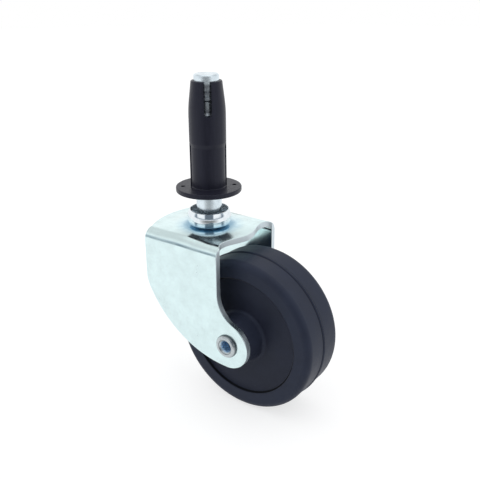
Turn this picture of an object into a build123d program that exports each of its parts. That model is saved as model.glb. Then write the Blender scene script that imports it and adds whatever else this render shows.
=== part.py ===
from build123d import *
import os
from math import cos, radians, sin

# Swivel stem castor. The origin is on the stem's axis, at the flange's upper face, which seats
# against the end of the furniture leg. +Z runs up the stem, and the wheel trails towards +X.

# Expansion sleeve
sleeve_radius = 5.65
sleeve_foot_radius = 5.3
sleeve_height = 32.3
sleeve_tip_radius = 4.7
sleeve_turn = 42.0
foot_slope_height = 1.2
taper_start = 22.0
tip_lean = 0.09
tip_round = 0.4
flange_radius = 10.25
flange_thickness = 1.5
flange_round = 0.3
root_round = 0.25
jaw_slot_width = 2.3
jaw_slot_bottom = 22.3
fin_height = 14.0
fin_width = 1.0
fin_proud = 0.3
pin_hole_radius = 0.7
pin_hole_circle = 8.0

# Stem
stem_radius = 4.0
stem_top = 34.2
stem_head_radius = 3.8
stem_chamfer = 0.35
snap_neck_radius = 3.3
snap_neck_bottom = 23.2
snap_neck_top = 26.4
groove_depth = 0.4
groove_width = 0.5
groove_heights = (28.1, 29.4)
stem_clearance = 0.05
tail_radius = 3.0

# Swivel bearing
ball_radius = 1.2
ball_count = 12
bearing_play = 0.05
cup_height = 5.3
cup_foot_radius = 5.1
cup_heel_radius = 6.7
cup_heel_height = 0.9
cup_heel_round = 0.3
cup_belly_radius = 6.85
cup_belly_height = 3.0
cup_mouth_radius = 6.25
cup_mouth_wall = 0.3
cup_mouth_round = 0.12
cup_wall = 0.7
cup_floor = 0.8
swivel_clearance = 0.05
spigot_wall = 0.9
spigot_clearance = 0.05

# Retaining washer and riveted end
washer_radius = 6.0
washer_thickness = 1.0
washer_gap = 0.1
riveted_end_radius = 4.3
riveted_end_height = 1.3

# Fork
plate_top = -12.8
sheet = 1.8
fork_width = 31.0
bend_radius = 3.5
cut_edge_round = 0.2
leg_front = 14.7
leg_rear = -13.9
shoulder_round = 1.2
front_bulge = 2.2
front_dip = 0.35
front_dip_inset = 1.6
rear_bulge = 3.0
heel_radius = 10.0
belly_radius = 35.0
throat_radius = 10.0
leg_tip_radius = 7.5

# Wheel and axle
axle_x = 18.3
axle_z = -43.8
wheel_radius = 25.0
tread_width = 17.2
shoulder_radius = 2.1
web_radius = 18.9
web_width = 15.2
web_edge_slope = 0.7
web_edge_round = 0.3
hub_root_radius = 8.2
hub_root_round = 1.2
hub_end_radius = 7.2
hub_end_round = 0.4
hub_clearance = 0.4
mould_line_height = 0.3
mould_line_width = 1.1
bush_radius = 4.0
running_clearance = 0.05
rivet_radius = 2.8
rivet_bore_radius = 1.7
rivet_clearance = 0.05
rolled_head_radius = 3.7
rolled_head_height = 1.1
rolled_head_corner = 0.28

# Worked out from the sizes above
plate_bottom = plate_top - sheet
leg_gap = fork_width - 2 * sheet
leg_length = plate_top - axle_z + leg_tip_radius
plate_front = leg_front - shoulder_round
flat_half_width = fork_width / 2 - bend_radius
front_dip_offset = flat_half_width - front_dip_inset
hub_width = leg_gap - 2 * hub_clearance
cup_inner_radius = cup_belly_radius - cup_wall
cup_top = plate_top + cup_height
ball_seat = ball_radius + bearing_play
ball_circle = cup_inner_radius - ball_seat
ball_z = plate_top + cup_floor + ball_seat
cone_z = ball_z + stem_radius - ball_circle + ball_seat * 2**0.5
spigot_radius = tail_radius + swivel_clearance + spigot_wall
washer_top = plate_bottom - washer_gap
washer_bottom = washer_top - washer_thickness
axle_plane = Plane(origin=(axle_x, 0, axle_z), x_dir=(0, 1, 0), z_dir=(1, 0, 0))
axle_line = Axis((axle_x, 0, axle_z), (0, 1, 0))

os.makedirs("parts", exist_ok=True)


# Expansion sleeve: one black moulding. Two slots part its upper end into jaws that grip the stem's
# neck, and two low fins stop it from turning in the drilled hole.
with BuildPart() as expansion_sleeve:
    with BuildSketch(Plane.XZ):
        with BuildLine():
            Polyline(
                (0, -flange_thickness),
                (flange_radius, -flange_thickness),
                (flange_radius, 0),
                (sleeve_foot_radius, 0),
                (sleeve_foot_radius, fin_height - foot_slope_height),
                (sleeve_radius, fin_height),
                (sleeve_radius, taper_start),
            )
            Spline(
                (sleeve_radius, taper_start),
                (sleeve_tip_radius, sleeve_height),
                tangents=((0, 1), (-tip_lean, 1)),
            )
            Polyline((sleeve_tip_radius, sleeve_height), (0, sleeve_height), (0, -flange_thickness))
        make_face()
    revolve(axis=Axis.Z)
    circles = expansion_sleeve.edges().filter_by(GeomType.CIRCLE)
    fillet(circles.filter_by(lambda edge: abs(edge.radius - flange_radius) < 0.01), flange_round)
    circles = expansion_sleeve.edges().filter_by(GeomType.CIRCLE)
    foot = circles.filter_by(lambda edge: abs(edge.radius - sleeve_foot_radius) < 0.01)
    fillet(foot.sort_by(Axis.Z)[0], root_round)
    fillet(expansion_sleeve.edges().filter_by(GeomType.CIRCLE).sort_by(Axis.Z)[-1], tip_round)
    with BuildSketch(Plane.XY):
        Rectangle(2 * (sleeve_foot_radius + fin_proud), fin_width, rotation=sleeve_turn)
    extrude(amount=fin_height)
    with BuildSketch(Plane.XZ):
        with BuildLine():
            Polyline(
                (0, -flange_thickness),
                (stem_radius + stem_clearance, -flange_thickness),
                (stem_radius + stem_clearance, snap_neck_bottom - stem_radius + snap_neck_radius),
                (snap_neck_radius + stem_clearance, snap_neck_bottom),
                (snap_neck_radius + stem_clearance, snap_neck_top),
                (stem_head_radius + stem_clearance, snap_neck_top + stem_head_radius - snap_neck_radius),
                (stem_head_radius + stem_clearance, sleeve_height),
                (0, sleeve_height),
                close=True,
            )
        make_face()
    revolve(axis=Axis.Z, mode=Mode.SUBTRACT)
    with BuildSketch(Plane.XY.offset(jaw_slot_bottom + jaw_slot_width / 2)):
        Rectangle(2 * flange_radius, jaw_slot_width, rotation=sleeve_turn + 90)
    extrude(amount=sleeve_height - jaw_slot_bottom, mode=Mode.SUBTRACT)
    across = (-sin(radians(sleeve_turn)), cos(radians(sleeve_turn)), 0)
    with BuildSketch(Plane(origin=(0, 0, jaw_slot_bottom + jaw_slot_width / 2), z_dir=across)):
        Circle(jaw_slot_width / 2)
    extrude(amount=flange_radius, both=True, mode=Mode.SUBTRACT)
    with PolarLocations(pin_hole_circle, 2, start_angle=sleeve_turn):
        Hole(pin_hole_radius, depth=flange_thickness)
expansion_sleeve.part.label = "expansion_sleeve"
export_step(expansion_sleeve.part, "parts/expansion_sleeve.step")

# Stem: one turned pin. The sleeve's jaws snap into its neck, its cone bears on the balls, and its
# tail runs down through the fork and is riveted over the washer.
with BuildPart() as stem:
    with BuildSketch(Plane.XZ):
        with BuildLine():
            profile = Polyline(
                (0, stem_top),
                (stem_head_radius - stem_chamfer, stem_top),
                (stem_head_radius, stem_top - stem_chamfer),
                (stem_head_radius, snap_neck_top + stem_head_radius - snap_neck_radius),
                (snap_neck_radius, snap_neck_top),
                (snap_neck_radius, snap_neck_bottom),
                (stem_radius, snap_neck_bottom - stem_radius + snap_neck_radius),
                (stem_radius, cone_z),
                (tail_radius, cone_z - stem_radius + tail_radius),
                (tail_radius, washer_bottom),
                (riveted_end_radius, washer_bottom),
            )
            dome = TangentArc(
                (0, washer_bottom - riveted_end_height),
                (riveted_end_radius, washer_bottom),
                tangent=(1, 0),
            )
            Line(dome @ 0, profile @ 0)
        make_face()
    revolve(axis=Axis.Z)
    for height in groove_heights:
        with BuildSketch(Plane.XZ):
            with Locations((stem_head_radius, height)):
                Rectangle(2 * groove_depth, groove_width)
        revolve(axis=Axis.Z, mode=Mode.SUBTRACT)
stem.part.label = "stem"
export_step(stem.part, "parts/stem.step")

# Bearing cup: one pressed ring. Its belly holds the balls, its undercut heel leaves a gap over the
# fork's top, and its spigot lines the fork's hole.
with BuildPart() as bearing_cup:
    with BuildSketch(Plane.XZ):
        with BuildLine():
            outline = Polyline(
                (cup_mouth_radius, cup_top),
                (0, cup_top),
                (0, plate_bottom),
                (spigot_radius, plate_bottom),
                (spigot_radius, plate_top),
                (cup_foot_radius, plate_top),
                (cup_heel_radius, plate_top + cup_heel_height),
            )
            ThreePointArc(
                outline @ 1,
                (cup_belly_radius, plate_top + cup_belly_height),
                outline @ 0,
            )
        make_face()
    revolve(axis=Axis.Z)
    with BuildSketch(Plane.XZ):
        with BuildLine():
            Polyline(
                (0, cup_top),
                (0, plate_top + cup_floor),
                (cup_inner_radius, plate_top + cup_floor),
                (cup_inner_radius, plate_top + cup_belly_height),
            )
            TangentArc(
                (cup_inner_radius, plate_top + cup_belly_height),
                (cup_mouth_radius - cup_mouth_wall, cup_top),
                tangent=(0, 1),
            )
            Line((cup_mouth_radius - cup_mouth_wall, cup_top), (0, cup_top))
        make_face()
    revolve(axis=Axis.Z, mode=Mode.SUBTRACT)
    race_edge = bearing_cup.edges().filter_by(GeomType.CIRCLE).filter_by(
        lambda edge: abs(edge.radius - cup_inner_radius) < 0.01
    )
    fillet(race_edge.sort_by(Axis.Z)[0], ball_radius - bearing_play)
    fillet(bearing_cup.edges().group_by(Axis.Z)[-1], cup_mouth_round)
    heel_edge = bearing_cup.edges().filter_by(GeomType.CIRCLE).filter_by(
        lambda edge: abs(edge.radius - cup_heel_radius) < 0.01
    )
    fillet(heel_edge, cup_heel_round)
    with BuildSketch(Plane.XY.offset(plate_bottom)):
        Circle(tail_radius + swivel_clearance)
    extrude(amount=cup_height, mode=Mode.SUBTRACT)
bearing_cup.part.label = "bearing_cup"
export_step(bearing_cup.part, "parts/bearing_cup.step")

# Bearing balls: one ring of loose steel balls between the cup and the stem's cone.
with BuildPart() as bearing_balls:
    with Locations((0, 0, ball_z)):
        with PolarLocations(ball_circle, ball_count):
            Sphere(ball_radius)
bearing_balls.part.label = "bearing_balls"
export_step(bearing_balls.part, "parts/bearing_balls.step")

# Retaining washer: sits on the stem's tail below the fork, and keeps the fork on the stem.
with BuildPart() as retaining_washer:
    with BuildSketch(Plane.XY.offset(washer_bottom)):
        Circle(washer_radius)
        Circle(tail_radius + swivel_clearance, mode=Mode.SUBTRACT)
    extrude(amount=washer_thickness)
retaining_washer.part.label = "retaining_washer"
export_step(retaining_washer.part, "parts/retaining_washer.step")

# Fork: one folded sheet. A channel section gives the bends, the leg's outline is cut through both
# legs, and the top's front and rear edges bulge outwards.
with BuildPart() as fork:
    with BuildSketch(Plane.YZ.offset(leg_rear)):
        with BuildLine():
            outer = FilletPolyline(
                (-fork_width / 2, plate_top - leg_length),
                (-fork_width / 2, plate_top),
                (fork_width / 2, plate_top),
                (fork_width / 2, plate_top - leg_length),
                radius=bend_radius,
            )
            inner = FilletPolyline(
                (-leg_gap / 2, plate_top - leg_length),
                (-leg_gap / 2, plate_bottom),
                (leg_gap / 2, plate_bottom),
                (leg_gap / 2, plate_top - leg_length),
                radius=bend_radius - sheet,
            )
            Line(outer @ 0, inner @ 0)
            Line(outer @ 1, inner @ 1)
        make_face()
    extrude(amount=axle_x + leg_tip_radius - leg_rear + sheet)
    with BuildSketch(Plane.XZ):
        with BuildLine():
            # Heel and belly arcs meet where the line through their centres crosses both.
            belly_centre = Vector(axle_x, axle_z - leg_tip_radius + belly_radius)
            heel_run = axle_x - leg_rear - heel_radius
            heel_drop = ((belly_radius - heel_radius) ** 2 - heel_run**2) ** 0.5
            heel_centre = Vector(leg_rear + heel_radius, belly_centre.Y - heel_drop)
            heel_end = heel_centre + (heel_centre - belly_centre).normalized() * heel_radius
            # Throat arc touches the leg's front edge and the round tip.
            throat_run = leg_front + throat_radius - axle_x
            throat_rise = ((throat_radius + leg_tip_radius) ** 2 - throat_run**2) ** 0.5
            tip_centre = Vector(axle_x, axle_z)
            throat_centre = Vector(leg_front + throat_radius, axle_z + throat_rise)
            throat_end = tip_centre + (throat_centre - tip_centre).normalized() * leg_tip_radius
            Line((leg_rear, plate_top), (leg_rear, heel_centre.Y))
            TangentArc((leg_rear, heel_centre.Y), heel_end, tangent=(0, -1))
            TangentArc((axle_x, axle_z - leg_tip_radius), heel_end, tangent=(-1, 0))
            ThreePointArc(
                (axle_x, axle_z - leg_tip_radius),
                (axle_x + leg_tip_radius, axle_z),
                throat_end,
            )
            TangentArc((leg_front, throat_centre.Y), throat_end, tangent=(0, -1))
            Line((leg_front, throat_centre.Y), (leg_front, plate_top - shoulder_round))
            TangentArc(
                (leg_front, plate_top - shoulder_round),
                (plate_front, plate_top),
                tangent=(0, 1),
            )
            Line((plate_front, plate_top), (leg_rear, plate_top))
        make_face()
    extrude(amount=fork_width, both=True, mode=Mode.INTERSECT)
    # The top's front edge is one wave: it dips beside each bend and bulges out in the middle.
    bulge_tip = plate_front + front_bulge
    with BuildSketch(Plane.XY.offset(plate_bottom)):
        with BuildLine():
            rear_edge = ThreePointArc(
                (leg_rear, -flat_half_width),
                (leg_rear - rear_bulge, 0),
                (leg_rear, flat_half_width),
            )
            Polyline(
                rear_edge @ 1,
                (bulge_tip, flat_half_width),
                (bulge_tip, -flat_half_width),
                rear_edge @ 0,
            )
        make_face()
    extrude(amount=sheet)
    with BuildSketch(Plane.XY.offset(plate_top)):
        with BuildLine():
            wave = Spline(
                (leg_front, -leg_gap / 2),
                (plate_front, -flat_half_width),
                (plate_front - front_dip, -front_dip_offset),
                (bulge_tip, 0),
                (plate_front - front_dip, front_dip_offset),
                (plate_front, flat_half_width),
                (leg_front, leg_gap / 2),
            )
            clear = bulge_tip + front_bulge
            Polyline(wave @ 1, (clear, leg_gap / 2), (clear, -leg_gap / 2), wave @ 0)
        make_face()
    extrude(amount=-bend_radius, mode=Mode.SUBTRACT)
    # The blanking punch rolls the outer skin's cut edges over slightly, from the rear edge round.
    skin_rim = fork.edges().filter_by(Axis.X, reverse=True).filter_by(
        lambda edge: all(
            abs(
                Vector(
                    max(abs(point.Y) - flat_half_width, 0),
                    max(point.Z - plate_top + bend_radius, 0),
                ).length
                - bend_radius
            )
            < 0.01
            for point in (edge @ 0, edge @ 0.5, edge @ 1)
        )
    )
    fillet(skin_rim.sort_by(Axis.X), cut_edge_round)
    with BuildSketch(Plane.XY.offset(plate_bottom)):
        Circle(spigot_radius + spigot_clearance)
    extrude(amount=sheet, mode=Mode.SUBTRACT)
    with BuildSketch(Plane.XZ):
        with Locations((axle_x, axle_z)):
            Circle(rivet_radius + rivet_clearance)
    extrude(amount=fork_width, both=True, mode=Mode.SUBTRACT)
fork.part.label = "fork"
export_step(fork.part, "parts/fork.step")

# Axle bush: one spacer tube, clamped between the legs by the rivet. The wheel turns on it.
with BuildPart() as axle_bush:
    with BuildSketch(Plane.XZ.offset(-leg_gap / 2)):
        with Locations((axle_x, axle_z)):
            Circle(bush_radius)
            Circle(rivet_radius + rivet_clearance, mode=Mode.SUBTRACT)
    extrude(amount=leg_gap)
axle_bush.part.label = "axle_bush"
export_step(axle_bush.part, "parts/axle_bush.step")

# Axle rivet: one steel tube whose ends are rolled outwards over the legs.
with BuildPart() as axle_rivet:
    with BuildSketch(axle_plane):
        with BuildLine():
            head = fork_width / 2 + rolled_head_height
            crown = (rivet_radius + rolled_head_radius) / 2 - rolled_head_height / 2
            Line((0, rivet_bore_radius), (fork_width / 2, rivet_bore_radius))
            TangentArc((fork_width / 2, rivet_bore_radius), (head, crown), tangent=(1, 0))
            ThreePointArc(
                (head, crown),
                (head - rolled_head_corner, rolled_head_radius - rolled_head_corner),
                (fork_width / 2, rolled_head_radius),
            )
            Polyline((fork_width / 2, rolled_head_radius), (fork_width / 2, rivet_radius), (0, rivet_radius))
            Line((0, rivet_radius), (0, rivet_bore_radius))
        make_face()
        mirror(about=Plane.YZ)
    revolve(axis=axle_line)
axle_rivet.part.label = "axle_rivet"
export_step(axle_rivet.part, "parts/axle_rivet.step")

# Wheel: one black rubber moulding with a long hub, recessed webs, rounded shoulders and the raised
# line that the two mould halves leave round the tread.
with BuildPart() as wheel:
    with BuildSketch(axle_plane):
        with BuildLine():
            Polyline(
                (0, bush_radius + running_clearance),
                (hub_width / 2, bush_radius + running_clearance),
                (hub_width / 2, hub_end_radius),
                (web_width / 2, hub_root_radius),
                (web_width / 2, web_radius),
                (tread_width / 2, web_radius + web_edge_slope),
                (tread_width / 2, wheel_radius),
                (mould_line_width / 2, wheel_radius),
                (0, wheel_radius + mould_line_height),
                (0, bush_radius + running_clearance),
            )
        make_face()
        mirror(about=Plane.YZ)
        for along, radius, rounding in (
            (hub_width / 2, hub_end_radius, hub_end_round),
            (web_width / 2, hub_root_radius, hub_root_round),
            (web_width / 2, web_radius, web_edge_round),
            (tread_width / 2, web_radius + web_edge_slope, web_edge_round),
            (tread_width / 2, wheel_radius, shoulder_radius),
        ):
            corners = vertices().filter_by(
                lambda point: abs(abs(point.X) - along) < 0.01 and abs(point.Y - radius) < 0.01
            )
            fillet(corners, rounding)
    revolve(axis=axle_line)
wheel.part.label = "wheel"
export_step(wheel.part, "parts/wheel.step")
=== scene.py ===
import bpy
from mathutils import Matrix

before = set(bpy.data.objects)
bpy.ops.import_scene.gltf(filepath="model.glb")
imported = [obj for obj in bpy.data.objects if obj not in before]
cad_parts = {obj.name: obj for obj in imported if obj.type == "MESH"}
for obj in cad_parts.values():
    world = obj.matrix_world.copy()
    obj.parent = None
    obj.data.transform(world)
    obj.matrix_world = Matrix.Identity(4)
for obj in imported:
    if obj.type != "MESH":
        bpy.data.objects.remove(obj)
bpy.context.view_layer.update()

import math

import bpy
import numpy as np
from mathutils import Matrix, Vector

# Fork. One blank of cold-rolled steel, stamped out and folded into two legs under a flat top,
# then zinc plated and blue passivated: it mirrors its surroundings through a faint cloudy bloom.
# The bearing has left a blue stain round its foot and domed the top slightly, and a darker blue ring of
# painted shade lies round the foot.
fork_blue_white = (0.80, 0.975, 0.985, 1)
fork_bloom_tint = (0.72, 0.87, 0.88, 1)
fork_blue_stain = (0.26, 0.53, 0.74, 1)
fork_foot_shade = (0.15, 0.31, 0.44, 1)
sheared_edge = (0.72, 0.80, 0.84, 1)
stain_radii = (0.0066, 0.0115)
foot_shade_radii = (0.0070, 0.0088)
polished_radii = (0.011, 0.017)
dome_radii = (0.0045, 0.0165)
dome_height = 0.0015
sheet_wave_height = 0.00012
rolling_mark_depth = 0.0000035


def new_finish(name, metallic, roughness, specular=0.5, sheen_tint=(1, 1, 1, 1)):
    """A material with its shader's even values set on the sockets; returns it, its tree and its shader."""
    material = bpy.data.materials.new(name)
    material.use_nodes = True
    shader = material.node_tree.nodes["Principled BSDF"]
    shader.inputs["Metallic"].default_value = metallic
    shader.inputs["Roughness"].default_value = roughness
    shader.inputs["Specular IOR Level"].default_value = specular
    shader.inputs["Specular Tint"].default_value = sheen_tint
    return material, material.node_tree, shader


def add_node(tree, kind, sources=None, **settings):
    """One node: settings go to its attributes, and sources to its inputs, as values or as links."""
    made = tree.nodes.new(kind)
    for key, value in settings.items():
        setattr(made, key, value)
    for key, value in (sources or {}).items():
        if isinstance(value, bpy.types.NodeSocket):
            tree.links.new(value, made.inputs[key])
        else:
            made.inputs[key].default_value = value
    return made


def figure(tree, operation, *numbers):
    """A number worked out from one, two or three others."""
    return add_node(tree, "ShaderNodeMath", dict(enumerate(numbers)), operation=operation).outputs[0]


def arrow(tree, operation, result, *arrows):
    """A vector, or a number such as a length, worked out from one or two vectors."""
    sources = dict(enumerate(arrows))
    return add_node(tree, "ShaderNodeVectorMath", sources, operation=operation).outputs[result]


def object_place(tree, scale=(1, 1, 1)):
    """Object coordinates in metres, stretched for one pattern."""
    place = add_node(tree, "ShaderNodeTexCoord").outputs["Object"]
    return add_node(tree, "ShaderNodeMapping", {"Vector": place, "Scale": scale}).outputs["Vector"]


def grain(tree, place, scale, detail=3.0, roughness=0.5):
    """Fractal noise of `scale` cells a metre, as a number from 0 to 1."""
    sources = {"Vector": place, "Scale": scale, "Detail": detail, "Roughness": roughness}
    return add_node(tree, "ShaderNodeTexNoise", sources).outputs["Fac"]


def spread(tree, value, low, high, to_low, to_high, **settings):
    """Maps low..high to to_low..to_high in a straight line, held at both ends."""
    sources = {"Value": value, "From Min": low, "From Max": high, "To Min": to_low, "To Max": to_high}
    return add_node(tree, "ShaderNodeMapRange", sources, **settings).outputs["Result"]


def between(tree, share, first, second):
    """A colour between two, by a share from 0 to 1."""
    mixed = add_node(tree, "ShaderNodeMix", {"Factor": share}, data_type="RGBA")
    for socket, value in ((mixed.inputs[6], first), (mixed.inputs[7], second)):
        if isinstance(value, bpy.types.NodeSocket):
            tree.links.new(value, socket)
        else:
            socket.default_value = value
    return mixed.outputs[2]


def relief(tree, height, depth, below=None):
    """A bump of `depth` metres from a height of 0 to 1, over the normal of the bump below it."""
    sources = {"Height": height, "Strength": 1.0, "Distance": depth}
    if below is not None:
        sources["Normal"] = below
    return add_node(tree, "ShaderNodeBump", sources).outputs["Normal"]


def from_line(tree, along, through=(0, 0, 0)):
    """Distance in metres from a line through a point, along X, Y or Z, in object coordinates."""
    place = add_node(tree, "ShaderNodeTexCoord").outputs["Object"]
    offset = arrow(tree, "SUBTRACT", "Vector", place, through)
    across = tuple(0.0 if axis == along else 1.0 for axis in "XYZ")
    return arrow(tree, "LENGTH", "Value", arrow(tree, "MULTIPLY", "Vector", offset, across))


def dress(node, material):
    """Gives a CAD node its finish."""
    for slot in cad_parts[node].material_slots:
        slot.material = material


zinc_sheet, tree, shader = new_finish("blue_white_zinc_sheet", 1.0, 0.2)
plain = object_place(tree)
rolled = object_place(tree, scale=(0.06, 1, 1))
bloom = grain(tree, plain, 240, 5.0, 0.6)
specks = grain(tree, plain, 1500, 2.0, 0.5)
drawn_lines = grain(tree, rolled, 5200, 2.0, 0.6)
cloud = spread(tree, bloom, 0.35, 0.7, 0.0, 1.0)
speckled = spread(tree, specks, 0.45, 0.75, 0.0, 0.35)
tint = between(tree, cloud, fork_blue_white, fork_bloom_tint)
tint = between(tree, speckled, tint, fork_blue_white)
from_stem = from_line(tree, "Z")
stain = spread(tree, from_stem, *stain_radii, 1.0, 0.0)
stain = figure(tree, "MULTIPLY", stain, spread(tree, bloom, 0.3, 0.6, 0.25, 0.8))
tint = between(tree, stain, tint, fork_blue_stain)
# Painted shade: a darker blue ring round the cup's foot on the top plate.
tint = between(tree, spread(tree, from_stem, *foot_shade_radii, 0.7, 0.0), tint, fork_foot_shade)
facing_out = add_node(tree, "ShaderNodeTexCoord").outputs["Normal"]
endways = figure(tree, "ABSOLUTE", add_node(tree, "ShaderNodeSeparateXYZ", {0: facing_out}).outputs["X"])
sheared = spread(tree, endways, 0.45, 0.8, 0.0, 1.0)
tree.links.new(between(tree, sheared, tint, sheared_edge), shader.inputs["Base Color"])
skin_roughness = spread(tree, bloom, 0.3, 0.75, 0.14, 0.3)
roughness = figure(tree, "ADD", skin_roughness, figure(tree, "MULTIPLY", sheared, 0.3))
roughness = figure(tree, "MULTIPLY", roughness, spread(tree, from_stem, *polished_radii, 0.6, 1.0))
tree.links.new(roughness, shader.inputs["Roughness"])
dome = spread(tree, from_stem, *dome_radii, 1.0, 0.0, interpolation_type="SMOOTHSTEP")
waves = relief(tree, grain(tree, plain, 90, 1.0, 0.4), sheet_wave_height, relief(tree, dome, dome_height))
tree.links.new(relief(tree, drawn_lines, rolling_mark_depth, waves), shader.inputs["Normal"])
dress("fork", zinc_sheet)

# Expansion sleeve. One injection moulding in black polyamide with a satin skin. It is pushed into
# the drilled leg, where the stem's head spreads its two jaws.
sleeve_black = (0.0165, 0.0165, 0.028, 1)
sleeve_sheen = (0.0225, 0.0225, 0.0375, 1)
sleeve_gloss_tint = (0.8, 0.86, 1, 1)
sleeve_skin_depth = 0.000012
flow_line_depth = 0.00001
satin_plastic, tree, shader = new_finish("satin_black_plastic", 0.0, 0.36, 0.3, sleeve_gloss_tint)
plain = object_place(tree)
flow = object_place(tree, scale=(1, 1, 0.12))
skin = grain(tree, plain, 5200, 2.0, 0.5)
flow_lines = grain(tree, flow, 1100, 3.0, 0.55)
tint = between(tree, spread(tree, flow_lines, 0.3, 0.7, 0.0, 1.0), sleeve_black, sleeve_sheen)
tree.links.new(tint, shader.inputs["Base Color"])
tree.links.new(spread(tree, flow_lines, 0.3, 0.7, 0.3, 0.42), shader.inputs["Roughness"])
pitted = relief(tree, skin, sleeve_skin_depth)
tree.links.new(relief(tree, flow_lines, flow_line_depth, pitted), shader.inputs["Normal"])
dress("expansion_sleeve", satin_plastic)

# Stem. Turned from free-cutting steel bar and bright zinc plated. Its cone bears on the balls, its
# tail is riveted over the washer under the fork, and the part that the sleeve grips is painted dark:
# partly the sleeve's rubbing, partly painted shade from inside the sleeve.
stem_bright = (0.80, 0.90, 0.96, 1)
stem_dull = (0.62, 0.70, 0.76, 1)
stem_rubbed_and_shaded = (0.20, 0.22, 0.25, 1)
grip_bottom = 0.0
grip_top = 0.0316
grip_fade = 0.0004
tool_mark_depth = 0.000006
turned_steel, tree, shader = new_finish("turned_bright_steel", 1.0, 0.2)
plain = object_place(tree)
rings = object_place(tree, scale=(0.05, 0.05, 1))
tool_marks = grain(tree, rings, 5200, 2.0, 0.6)
patches = grain(tree, plain, 420, 3.0, 0.55)
tint = between(tree, spread(tree, patches, 0.4, 0.75, 0.0, 0.8), stem_bright, stem_dull)
height = add_node(tree, "ShaderNodeSeparateXYZ", {0: plain}).outputs["Z"]
below_top = spread(tree, height, grip_top - grip_fade, grip_top + grip_fade, 1.0, 0.0)
above_bottom = spread(tree, height, grip_bottom - grip_fade, grip_bottom + grip_fade, 0.0, 1.0)
gripped = figure(tree, "MULTIPLY", below_top, above_bottom)
# Painted shade, partly rubbing: the stem is darkened where the sleeve grips it.
rubbed_and_shaded_share = spread(tree, grain(tree, plain, 700, 2.0, 0.5), 0.35, 0.65, 0.55, 0.95)
tint = between(tree, figure(tree, "MULTIPLY", gripped, rubbed_and_shaded_share), tint, stem_rubbed_and_shaded)
tree.links.new(tint, shader.inputs["Base Color"])
tree.links.new(spread(tree, patches, 0.3, 0.7, 0.2, 0.34), shader.inputs["Roughness"])
tree.links.new(relief(tree, tool_marks, tool_mark_depth), shader.inputs["Normal"])
dress("stem", turned_steel)

# Bearing cup. Pressed from thin sheet round the balls and bright nickel plated. Its spigot goes
# down through the fork's hole and lines it. Inside its mouth the plating is left matte.
cup_bright = (0.86, 0.92, 0.96, 1)
cup_smear = (0.52, 0.59, 0.66, 1)
cup_inside_radii = (0.00605, 0.0062)
cup_wave_height = 0.00003
bright_plate, tree, shader = new_finish("bright_pressed_plate", 1.0, 0.08)
plain = object_place(tree)
smear = grain(tree, plain, 650, 3.0, 0.55)
tint = between(tree, spread(tree, smear, 0.45, 0.85, 0.0, 0.5), cup_bright, cup_smear)
tree.links.new(tint, shader.inputs["Base Color"])
inside = spread(tree, from_line(tree, "Z"), *cup_inside_radii, 0.35, 0.0)
roughness = figure(tree, "ADD", spread(tree, smear, 0.35, 0.75, 0.05, 0.16), inside)
tree.links.new(roughness, shader.inputs["Roughness"])
tree.links.new(relief(tree, grain(tree, plain, 220, 1.0, 0.4), cup_wave_height), shader.inputs["Normal"])
dress("bearing_cup", bright_plate)

# Bearing balls. Hardened steel, ground and polished, packed loose between cup and cone in a film
# of clear grease.
ball_steel = (0.72, 0.76, 0.80, 1)
ball_grease = (0.50, 0.51, 0.50, 1)
grease_film_depth = 0.00003
greased_steel, tree, shader = new_finish("greased_ball_steel", 1.0, 0.15)
grease = grain(tree, object_place(tree), 900, 3.0, 0.5)
tint = between(tree, spread(tree, grease, 0.4, 0.7, 0.0, 1.0), ball_steel, ball_grease)
tree.links.new(tint, shader.inputs["Base Color"])
tree.links.new(spread(tree, grease, 0.35, 0.7, 0.08, 0.4), shader.inputs["Roughness"])
tree.links.new(relief(tree, grease, grease_film_depth), shader.inputs["Normal"])
dress("bearing_balls", greased_steel)

# Retaining washer. Blanked from zinc-plated strip, with a matte rolled face. The stem's tail is
# riveted over it and holds the fork up.
washer_zinc = (0.62, 0.66, 0.68, 1)
washer_dark = (0.42, 0.45, 0.47, 1)
strip_mark_depth = 0.000006
blanked_zinc, tree, shader = new_finish("blanked_zinc_washer", 1.0, 0.35)
dulled = grain(tree, object_place(tree), 500, 4.0, 0.6)
rolled_lines = grain(tree, object_place(tree, scale=(1, 0.05, 1)), 4200, 2.0, 0.6)
tint = between(tree, spread(tree, dulled, 0.35, 0.7, 0.0, 1.0), washer_zinc, washer_dark)
tree.links.new(tint, shader.inputs["Base Color"])
tree.links.new(spread(tree, rolled_lines, 0.3, 0.7, 0.28, 0.45), shader.inputs["Roughness"])
tree.links.new(relief(tree, rolled_lines, strip_mark_depth), shader.inputs["Normal"])
dress("retaining_washer", blanked_zinc)

# Axle rivet. A steel tube, zinc plated with a blue passivation that lies thicker in its bore. Its
# ends are rolled outwards over the legs, and painted shade darkens the creases of the rolled heads.
rivet_zinc = (0.56, 0.61, 0.63, 1)
rivet_blue = (0.60, 0.80, 0.98, 1)
rivet_scuff = (0.22, 0.26, 0.28, 1)
rivet_crease_shade = (0.07, 0.08, 0.09, 1)
axle_x = 0.0183
axle_z = -0.0438
rivet_bore_radii = (0.0017, 0.0021)
rim_crease_radii = (0.00335, 0.00365)
lip_crease_radius = 0.00235
lip_crease_half_width = 0.00015
rolling_ring_depth = 0.00001
rolled_zinc, tree, shader = new_finish("rolled_rivet_zinc", 1.0, 0.22)
place = add_node(tree, "ShaderNodeTexCoord").outputs["Object"]
radius = from_line(tree, "Y", (axle_x, 0, axle_z))
rolling_rings = {"W": radius, "Scale": 9000, "Detail": 1.0}
rolling_rings = add_node(tree, "ShaderNodeTexNoise", rolling_rings, noise_dimensions="1D").outputs["Fac"]
scuffs = grain(tree, place, 1400, 3.0, 0.6)
in_bore = spread(tree, radius, *rivet_bore_radii, 1.0, 0.0)
tint = between(tree, in_bore, rivet_zinc, rivet_blue)
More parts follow.
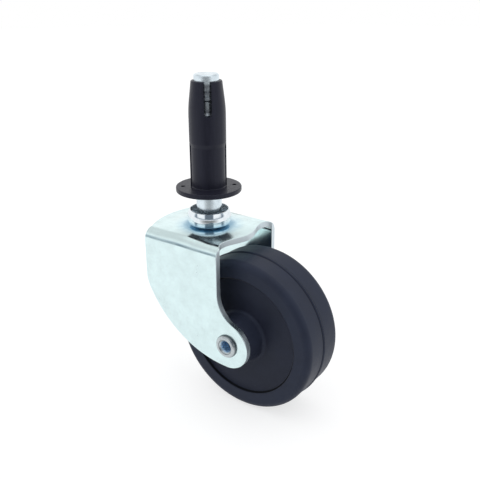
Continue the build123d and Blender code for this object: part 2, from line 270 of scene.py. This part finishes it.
tint = between(tree, spread(tree, scuffs, 0.5, 0.8, 0.0, 0.5), tint, rivet_scuff)
# Painted shade: dark rings at the outer crease of the rolled rim and round its lip.
rim_crease = spread(tree, radius, *rim_crease_radii, 0.0, 0.9)
lip_crease = figure(tree, "COMPARE", radius, lip_crease_radius, lip_crease_half_width)
crease_shade_share = figure(tree, "MAXIMUM", rim_crease, figure(tree, "MULTIPLY", lip_crease, 0.55))
tree.links.new(between(tree, crease_shade_share, tint, rivet_crease_shade), shader.inputs["Base Color"])
scuffed_roughness = spread(tree, scuffs, 0.3, 0.7, 0.14, 0.3)
roughness = figure(tree, "ADD", scuffed_roughness, spread(tree, in_bore, 0.0, 1.0, 0.0, 0.4))
tree.links.new(roughness, shader.inputs["Roughness"])
tree.links.new(relief(tree, rolling_rings, rolling_ring_depth), shader.inputs["Normal"])
dress("axle_rivet", rolled_zinc)

# Axle bush. Cut from drawn steel tube and left with its drawn skin. The rivet clamps it between the
# legs, and the wheel turns on it.
bush_steel = (0.55, 0.57, 0.58, 1)
bush_oiled = (0.34, 0.34, 0.33, 1)
die_line_depth = 0.000008
drawn_tube, tree, shader = new_finish("drawn_tube_steel", 1.0, 0.3)
die_lines = grain(tree, object_place(tree, scale=(1, 0.04, 1)), 3800, 2.0, 0.6)
tree.links.new(between(tree, die_lines, bush_steel, bush_oiled), shader.inputs["Base Color"])
tree.links.new(spread(tree, die_lines, 0.3, 0.7, 0.2, 0.4), shader.inputs["Roughness"])
tree.links.new(relief(tree, die_lines, die_line_depth), shader.inputs["Normal"])
dress("axle_bush", drawn_tube)

# Wheel. One compression moulding in black rubber: matte, slightly blue, a little paler in random patches,
# with dust in its skin. The hub and the rim are painted paler as painted light, which leaves the
# recessed web in painted shade, and painted shade darkens the creases at the web and the mould line.
rubber_black = (0.0165, 0.0188, 0.0335, 1)
rubber_pale = (0.026, 0.029, 0.049, 1)
rubber_crease_shade = (0.002, 0.002, 0.003, 1)
rubber_painted_light = (0.033, 0.040, 0.068, 1)
rubber_dust = (0.085, 0.09, 0.115, 1)
rubber_gloss_tint = (0.72, 0.82, 1, 1)
lit_hub_radii = (0.0078, 0.0092)
lit_rim_radii = (0.0188, 0.0202)
web_crease_radius = 0.0193
web_crease_half_width = 0.0002
mould_crease_offset = 0.00054
mould_crease_half_width = 0.00011
crown_radius = 0.024
rubber_skin_depth = 0.00002
rubber_wave_height = 0.00008
moulded_rubber, tree, shader = new_finish("moulded_black_rubber", 0.0, 0.46, 0.27, rubber_gloss_tint)
plain = object_place(tree)
skin = grain(tree, plain, 4200, 3.0, 0.6)
handling = grain(tree, plain, 120, 4.0, 0.6)
dust = grain(tree, plain, 1300, 1.0, 0.5)
tint = between(tree, spread(tree, handling, 0.35, 0.7, 0.0, 1.0), rubber_black, rubber_pale)
tint = between(tree, spread(tree, dust, 0.76, 0.82, 0.0, 0.6), tint, rubber_dust)
radius = from_line(tree, "Y", (axle_x, 0, axle_z))
# Painted light: the hub and the rim are made paler than the recessed web.
lit_hub = spread(tree, radius, *lit_hub_radii, 1.0, 0.0)
lit_hub_and_rim = figure(tree, "MAXIMUM", lit_hub, spread(tree, radius, *lit_rim_radii, 0.0, 1.0))
painted_light_share = figure(tree, "MULTIPLY", lit_hub_and_rim, spread(tree, handling, 0.3, 0.7, 0.45, 0.9))
tint = between(tree, painted_light_share, tint, rubber_painted_light)
# Painted shade: dark lines in the corner of the web's step and at the foot of the mould line.
web_crease = figure(tree, "COMPARE", radius, web_crease_radius, web_crease_half_width)
sideways = figure(tree, "ABSOLUTE", add_node(tree, "ShaderNodeSeparateXYZ", {0: plain}).outputs["Y"])
mould_crease = figure(tree, "COMPARE", sideways, mould_crease_offset, mould_crease_half_width)
mould_crease = figure(tree, "MULTIPLY", mould_crease, figure(tree, "GREATER_THAN", radius, crown_radius))
crease_shade = figure(tree, "MAXIMUM", web_crease, figure(tree, "MULTIPLY", mould_crease, 0.7))
tree.links.new(between(tree, crease_shade, tint, rubber_crease_shade), shader.inputs["Base Color"])
skin_roughness = spread(tree, handling, 0.3, 0.7, 0.4, 0.54)
roughness = figure(tree, "ADD", skin_roughness, figure(tree, "MULTIPLY", crease_shade, 0.4))
tree.links.new(roughness, shader.inputs["Roughness"])
pitted = relief(tree, skin, rubber_skin_depth)
tree.links.new(relief(tree, handling, rubber_wave_height, pitted), shader.inputs["Normal"])
dress("wheel", moulded_rubber)

# Floor. A round sheet of white paper that the wheel stands on. It glows just enough to be white, and
# bright metal sees a painted shade on it towards the camera, deeper farther out from the wheel.
floor_level = axle_z - 0.0253
floor_radius = 1.6
floor_rings = 23
floor_spokes = 72
camera_bearing = math.radians(36.58)
towards_camera = (math.sin(camera_bearing), -math.cos(camera_bearing), 0)
paper_bounce = 0.5
paper_glow_in_metal = 0.56
paper_glow_in_view = 0.68
# Floor point = (reach * cos(turn), reach * sin(turn), level); its rings are joined by four-sided faces.
reach = np.linspace(0, floor_radius, floor_rings + 1)[1:]
turn = np.linspace(0, 2 * math.pi, floor_spokes + 1)[:-1]
level = np.full((floor_rings, floor_spokes), floor_level)
floor_points = np.stack((np.outer(reach, np.cos(turn)), np.outer(reach, np.sin(turn)), level), -1)
ring, spoke = np.meshgrid(np.arange(floor_rings - 1), np.arange(floor_spokes), indexing="ij")
after = (spoke + 1) % floor_spokes
inner_ring = ring * floor_spokes
outer_ring = inner_ring + floor_spokes
bands = np.stack((inner_ring + spoke, outer_ring + spoke, outer_ring + after, inner_ring + after), -1)
floor_faces = [list(range(floor_spokes))] + bands.reshape(-1, 4).tolist()
floor_mesh = bpy.data.meshes.new("paper_floor")
floor_mesh.from_pydata(floor_points.reshape(-1, 3).tolist(), [], floor_faces)
paper_floor = bpy.data.objects.new("paper_floor", floor_mesh)
bpy.context.scene.collection.objects.link(paper_floor)
paper = bpy.data.materials.new("white_paper")
paper.use_nodes = True
tree = paper.node_tree
tree.nodes.clear()
rays = add_node(tree, "ShaderNodeLightPath").outputs
spot = object_place(tree)
away = arrow(tree, "LENGTH", "Value", spot)
facing = figure(tree, "DIVIDE", arrow(tree, "DOT_PRODUCT", "Value", spot, towards_camera), away)
# Painted shade, seen only in reflections: the paper darkens towards the camera.
shade_by_distance = spread(tree, away, 0.07, 0.25, 0.0, 0.75)
shade = figure(tree, "MULTIPLY", spread(tree, facing, 0.6, 0.95, 0.0, 1.0), shade_by_distance)
shade = figure(tree, "MULTIPLY", shade, rays["Is Glossy Ray"])
lit = figure(tree, "SUBTRACT", 1.0, shade)
seen = figure(tree, "MAXIMUM", rays["Is Camera Ray"], rays["Is Glossy Ray"])
seen = figure(tree, "MAXIMUM", seen, rays["Is Transmission Ray"])
glow = spread(tree, rays["Is Camera Ray"], 0.0, 1.0, paper_glow_in_metal, paper_glow_in_view)
glow = figure(tree, "MULTIPLY", figure(tree, "MULTIPLY", seen, glow), lit)
fibres = spread(tree, grain(tree, spot, 60, 4.0, 0.6), 0.0, 1.0, paper_bounce - 0.01, paper_bounce + 0.01)
diffuse = add_node(tree, "ShaderNodeBsdfDiffuse", {"Color": figure(tree, "MULTIPLY", fibres, lit)})
glowing = add_node(tree, "ShaderNodeEmission", {"Color": (1, 1, 1, 1), "Strength": glow})
both = add_node(tree, "ShaderNodeAddShader", {0: diffuse.outputs[0], 1: glowing.outputs[0]})
add_node(tree, "ShaderNodeOutputMaterial", {"Surface": both.outputs[0]})
floor_mesh.materials.append(paper)

# Surround. White all round, which is what the camera sees. Bright metal also sees the dimmer room
# behind the camera with two softboxes in front of it, 20 to 65 degrees to either side, and a ceiling.
# Each spread below runs between two cosines: sideways from the camera, upwards, or towards the camera.
beside_camera = (math.cos(camera_bearing), math.sin(camera_bearing), 0)
white_wall = (1, 1, 1, 1)
room_blue = (0.62, 0.8, 1, 1)
room_darkness = 0.78
ceiling_darkness = 0.3
world = bpy.data.worlds.new("white_surround")
world.use_nodes = True
tree = world.node_tree
backdrop = tree.nodes["Background"]


def product(tree, first, *others):
    """Several numbers multiplied together."""
    for other in others:
        first = figure(tree, "MULTIPLY", first, other)
    return first


ray = add_node(tree, "ShaderNodeTexCoord").outputs["Object"]
upwards = add_node(tree, "ShaderNodeSeparateXYZ", {0: ray}).outputs["Z"]
facing = arrow(tree, "DOT_PRODUCT", "Value", ray, towards_camera)
aside = figure(tree, "ABSOLUTE", arrow(tree, "DOT_PRODUCT", "Value", ray, beside_camera))
softbox = product(
    tree,
    spread(tree, aside, 0.34, 0.42, 0.0, 1.0),
    spread(tree, aside, 0.88, 0.95, 1.0, 0.0),
    spread(tree, upwards, 0.04, 0.12, 0.0, 1.0),
    spread(tree, upwards, 0.6, 0.7, 1.0, 0.0),
)
not_in_view = spread(tree, add_node(tree, "ShaderNodeLightPath").outputs["Is Camera Ray"], 0.0, 1.0, 1.0, 0.0)
dim_room = product(
    tree,
    spread(tree, facing, 0.0, 0.25, 0.0, room_darkness),
    spread(tree, upwards, -0.02, 0.05, 0.0, 1.0),
    spread(tree, upwards, 0.65, 0.85, 1.0, 0.0),
    figure(tree, "SUBTRACT", 1.0, softbox),
    not_in_view,
)
ceiling = product(
    tree,
    spread(tree, upwards, 0.4, 0.65, 0.0, ceiling_darkness),
    spread(tree, upwards, 0.75, 0.9, 1.0, 0.0),
    not_in_view,
)
brightness = figure(tree, "SUBTRACT", 1.0, figure(tree, "MAXIMUM", dim_room, ceiling))
tree.links.new(between(tree, dim_room, white_wall, room_blue), backdrop.inputs["Color"])
tree.links.new(brightness, backdrop.inputs["Strength"])
bpy.context.scene.world = world

# Camera. It stands 206 mm from the stem, at the photograph's bearing and height and with its slight
# tilt, and looks past the stem by as much as the photograph's framing needs.
camera_height = math.radians(22.14)
camera_tilt = math.radians(-0.29)
distance = 0.20648
picture_pixels = 480
focal_pixels = 661.71
sideways_pixels = -31.2
upwards_pixels = 54.73
sensor_width = 36.0
level_reach = math.cos(camera_height)
back = Vector((towards_camera[0] * level_reach, towards_camera[1] * level_reach, math.sin(camera_height)))
level_right = Vector(beside_camera)
level_up = back.cross(level_right)
right = math.cos(camera_tilt) * level_right + math.sin(camera_tilt) * level_up
up = math.cos(camera_tilt) * level_up - math.sin(camera_tilt) * level_right
lens = bpy.data.cameras.new("camera")
lens.sensor_width = sensor_width
lens.lens = focal_pixels / picture_pixels * sensor_width
lens.clip_start = 0.005
lens.clip_end = 20.0
camera = bpy.data.objects.new("camera", lens)
bpy.context.scene.collection.objects.link(camera)
pixel = distance / focal_pixels
place = back * distance - right * (sideways_pixels * pixel) - up * (upwards_pixels * pixel)
camera.matrix_world = Matrix.Translation(place) @ Matrix((right, up, back)).transposed().to_4x4()
bpy.context.scene.camera = camera
bpy.context.scene.view_settings.view_transform = "Standard"
